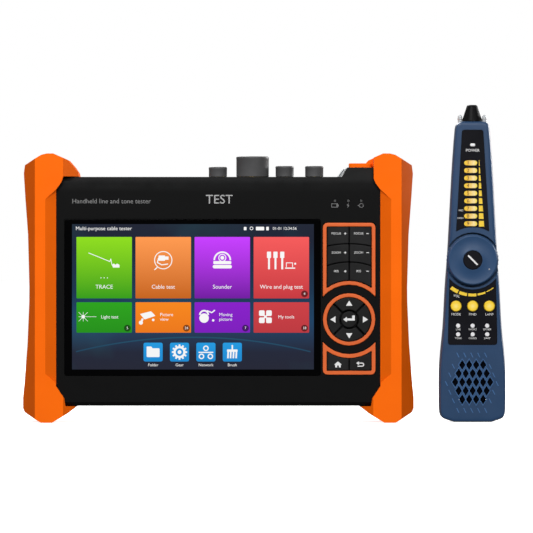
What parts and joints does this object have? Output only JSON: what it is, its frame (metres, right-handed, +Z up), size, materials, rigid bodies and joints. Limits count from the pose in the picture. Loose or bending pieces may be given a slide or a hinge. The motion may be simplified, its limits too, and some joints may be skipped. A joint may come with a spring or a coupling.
{
  "type": "tone probe kit",
  "caption": "Upright rugged handheld cable tester with screen, keypad, orange bumpers and capped ports, beside a tapered blue tone probe with thumb dial and buttons.",
  "frame": {"origin": "on the surface both devices stand on, midway across the pair and midway through the tester's depth", "axes": "+X to the right as the screen is read, from the tester to the probe; -Y the side the screen, keys and dial face; +Z up"},
  "size_m": [0.3293, 0.059, 0.2167],
  "materials": {
    "housing_black": "fine moulded grain",
    "bumper_orange": "satin",
    "trim_orange": "satin",
    "key_black": "matte",
    "cap_rubber": "matte",
    "glass_dark": "polished",
    "display": "lit",
    "blue_plastic": "satin",
    "label_film": "satin",
    "yellow_key": "satin",
    "yellow_light": "translucent",
    "white_light": "translucent",
    "clear_lens": "clear",
    "board_green": "solder mask",
    "steel": "turned",
    "brass": "turned",
    "battery_wrap": "film",
    "speaker_paper": "paper cone"
  },
  "bodies": {
    "tester": {"tester_front_housing": "housing_black", "tester_rear_housing": "housing_black", "left_bumper": "bumper_orange", "right_bumper": "bumper_orange", "touch_glass": "glass_dark", "display_panel": "display", "upper_key_trim": "trim_orange", "ring_key_trim": "trim_orange", "lower_key_trim": "trim_orange", "keypad_sheet": "key_black", "indicator_light_guide": "white_light", "small_port_left": "brass", "wide_port": "brass", "small_port_middle": "brass", "small_port_right": "brass", "cable_jack_block": "housing_black", "tester_main_board": "board_green", "tester_speaker": "speaker_paper", "tester_battery_pack": "battery_wrap", "tester_battery_cover": "housing_black", "battery_cover_screw": "steel"},
    "power": {"power_button": "bumper_orange"},
    "probe": {"probe_front_shell": "blue_plastic", "probe_rear_shell": "blue_plastic", "probe_tip": "housing_black", "probe_sensor_rod": "steel", "left_lamp": "clear_lens", "right_lamp": "clear_lens", "dial_potentiometer": "steel", "upper_label": "label_film", "lower_label": "label_film", "signal_light_guide": "yellow_light", "status_light_guide": "white_light", "probe_board": "board_green", "probe_speaker": "speaker_paper", "probe_battery": "battery_wrap"},
    "dial": {"dial_wheel": "blue_plastic", "dial_centre_cap": "label_film", "dial_shaft": "steel"},
    "battery_door": {"probe_battery_door": "blue_plastic"},
    "small_port_left_cap": {"small_port_left_cap": "cap_rubber"},
    "wide_port_cap": {"wide_port_cap": "cap_rubber"},
    "small_port_middle_cap": {"small_port_middle_cap": "cap_rubber"},
    "small_port_right_cap": {"small_port_right_cap": "cap_rubber"},
    "focus_up_key": {"focus_up_key": "key_black"},
    "focus_down_key": {"focus_down_key": "key_black"},
    "zoom_up_key": {"zoom_up_key": "key_black"},
    "zoom_down_key": {"zoom_down_key": "key_black"},
    "iris_up_key": {"iris_up_key": "key_black"},
    "iris_down_key": {"iris_down_key": "key_black"},
    "arrow_up_key": {"arrow_up_key": "key_black"},
    "arrow_down_key": {"arrow_down_key": "key_black"},
    "arrow_left_key": {"arrow_left_key": "key_black"},
    "arrow_right_key": {"arrow_right_key": "key_black"},
    "enter_key": {"enter_key": "key_black"},
    "home_key": {"home_key": "key_black"},
    "return_key": {"return_key": "key_black"},
    "mode_button": {"mode_button": "yellow_key"},
    "search_button": {"search_button": "yellow_key"},
    "lamp_button": {"lamp_button": "yellow_key"}
  },
  "joints": [
    {"name": "small_port_left_cap_pull", "type": "slide", "parent": "tester", "child": "small_port_left_cap", "axis": [0, 0, 1], "range_m": [0, 0.022]},
    {"name": "wide_port_cap_pull", "type": "slide", "parent": "tester", "child": "wide_port_cap", "axis": [0, 0, 1], "range_m": [0, 0.028]},
    {"name": "small_port_middle_cap_pull", "type": "slide", "parent": "tester", "child": "small_port_middle_cap", "axis": [0, 0, 1], "range_m": [0, 0.022]},
    {"name": "small_port_right_cap_pull", "type": "slide", "parent": "tester", "child": "small_port_right_cap", "axis": [0, 0, 1], "range_m": [0, 0.022]},
    {"name": "focus_up_key_press", "type": "slide", "parent": "tester", "child": "focus_up_key", "axis": [0, 1, 0], "range_m": [0, 0.0009], "stiffness_N_per_m": 800, "springref_m": -0.0005},
    {"name": "focus_down_key_press", "type": "slide", "parent": "tester", "child": "focus_down_key", "axis": [0, 1, 0], "range_m": [0, 0.0009], "stiffness_N_per_m": 800, "springref_m": -0.0005},
    {"name": "zoom_up_key_press", "type": "slide", "parent": "tester", "child": "zoom_up_key", "axis": [0, 1, 0], "range_m": [0, 0.0009], "stiffness_N_per_m": 800, "springref_m": -0.0005},
    {"name": "zoom_down_key_press", "type": "slide", "parent": "tester", "child": "zoom_down_key", "axis": [0, 1, 0], "range_m": [0, 0.0009], "stiffness_N_per_m": 800, "springref_m": -0.0005},
    {"name": "iris_up_key_press", "type": "slide", "parent": "tester", "child": "iris_up_key", "axis": [0, 1, 0], "range_m": [0, 0.0009], "stiffness_N_per_m": 800, "springref_m": -0.0005},
    {"name": "iris_down_key_press", "type": "slide", "parent": "tester", "child": "iris_down_key", "axis": [0, 1, 0], "range_m": [0, 0.0009], "stiffness_N_per_m": 800, "springref_m": -0.0005},
    {"name": "arrow_up_key_press", "type": "slide", "parent": "tester", "child": "arrow_up_key", "axis": [0, 1, 0], "range_m": [0, 0.0009], "stiffness_N_per_m": 800, "springref_m": -0.0005},
    {"name": "arrow_down_key_press", "type": "slide", "parent": "tester", "child": "arrow_down_key", "axis": [0, 1, 0], "range_m": [0, 0.0009], "stiffness_N_per_m": 800, "springref_m": -0.0005},
    {"name": "arrow_left_key_press", "type": "slide", "parent": "tester", "child": "arrow_left_key", "axis": [0, 1, 0], "range_m": [0, 0.0009], "stiffness_N_per_m": 800, "springref_m": -0.0005},
    {"name": "arrow_right_key_press", "type": "slide", "parent": "tester", "child": "arrow_right_key", "axis": [0, 1, 0], "range_m": [0, 0.0009], "stiffness_N_per_m": 800, "springref_m": -0.0005},
    {"name": "enter_key_press", "type": "slide", "parent": "tester", "child": "enter_key", "axis": [0, 1, 0], "range_m": [0, 0.0009], "stiffness_N_per_m": 800, "springref_m": -0.0005},
    {"name": "home_key_press", "type": "slide", "parent": "tester", "child": "home_key", "axis": [0, 1, 0], "range_m": [0, 0.0009], "stiffness_N_per_m": 800, "springref_m": -0.0005},
    {"name": "return_key_press", "type": "slide", "parent": "tester", "child": "return_key", "axis": [0, 1, 0], "range_m": [0, 0.0009], "stiffness_N_per_m": 800, "springref_m": -0.0005},
    {"name": "power_press", "type": "slide", "parent": "tester", "child": "power", "axis": [0, 0, -1], "range_m": [0, 0.0015], "stiffness_N_per_m": 800, "springref_m": -0.0005},
    {"name": "probe_lift", "type": "slide", "parent": "tester", "child": "probe", "axis": [0, 0, 1], "range_m": [0, 0.065]},
    {"name": "dial_turn", "type": "hinge", "parent": "probe", "child": "dial", "pos_m": [0.1421, -0.011, 0.1106], "axis": [0, -1, 0], "range_deg": [-150, 150]},
    {"name": "mode_button_press", "type": "slide", "parent": "probe", "child": "mode_button", "axis": [0, 1, 0], "range_m": [0, 0.0008], "stiffness_N_per_m": 800, "springref_m": -0.0005},
    {"name": "search_button_press", "type": "slide", "parent": "probe", "child": "search_button", "axis": [0, 1, 0], "range_m": [0, 0.0008], "stiffness_N_per_m": 800, "springref_m": -0.0005},
    {"name": "lamp_button_press", "type": "slide", "parent": "probe", "child": "lamp_button", "axis": [0, 1, 0], "range_m": [0, 0.0008], "stiffness_N_per_m": 800, "springref_m": -0.0005},
    {"name": "battery_door_pull", "type": "slide", "parent": "probe", "child": "battery_door", "axis": [0, 1, 0], "range_m": [0, 0.03]}
  ]
}
